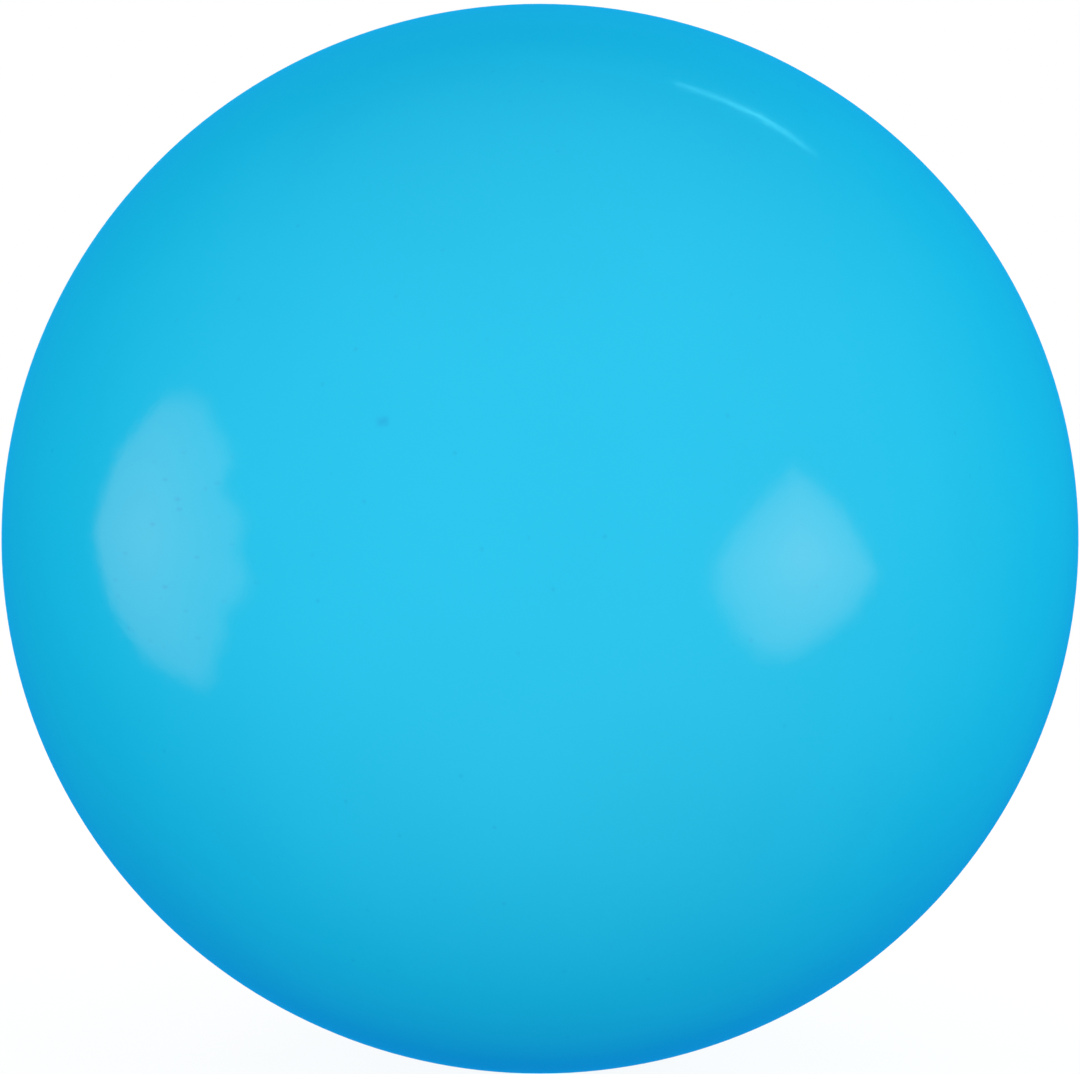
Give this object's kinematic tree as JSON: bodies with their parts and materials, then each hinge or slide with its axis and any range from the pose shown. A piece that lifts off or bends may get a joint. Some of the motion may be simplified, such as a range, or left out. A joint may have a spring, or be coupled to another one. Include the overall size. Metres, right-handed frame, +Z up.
{
  "type": "giant inflatable ball",
  "caption": "Seamless giant inflatable ball with a push-in plug valve set level in its skin; it rolls, bounces and rests on a small flattened patch.",
  "frame": {"origin": "on the floor, under the middle of the ball", "axes": "+Z up through the middle of the ball, +Y out of the valve at the back, -Y towards the viewer of the picture"},
  "size_m": [1, 1.0008, 0.9908],
  "materials": {
    "skin": "seamless moulded soft PVC, cyan-blue, smooth gloss with a fine moulded texture",
    "seat": "firm moulded PVC, blue, satin",
    "plug": "moulded white polythene, satin"
  },
  "bodies": {
    "ball": {"ball_skin": "skin", "valve_seat": "seat"},
    "plug": {"valve_plug": "plug"}
  },
  "joints": [
    {"name": "plug_pull", "type": "slide", "parent": "ball", "child": "plug", "axis": [0, 1, 0], "range_m": [0, 0.035]}
  ]
}
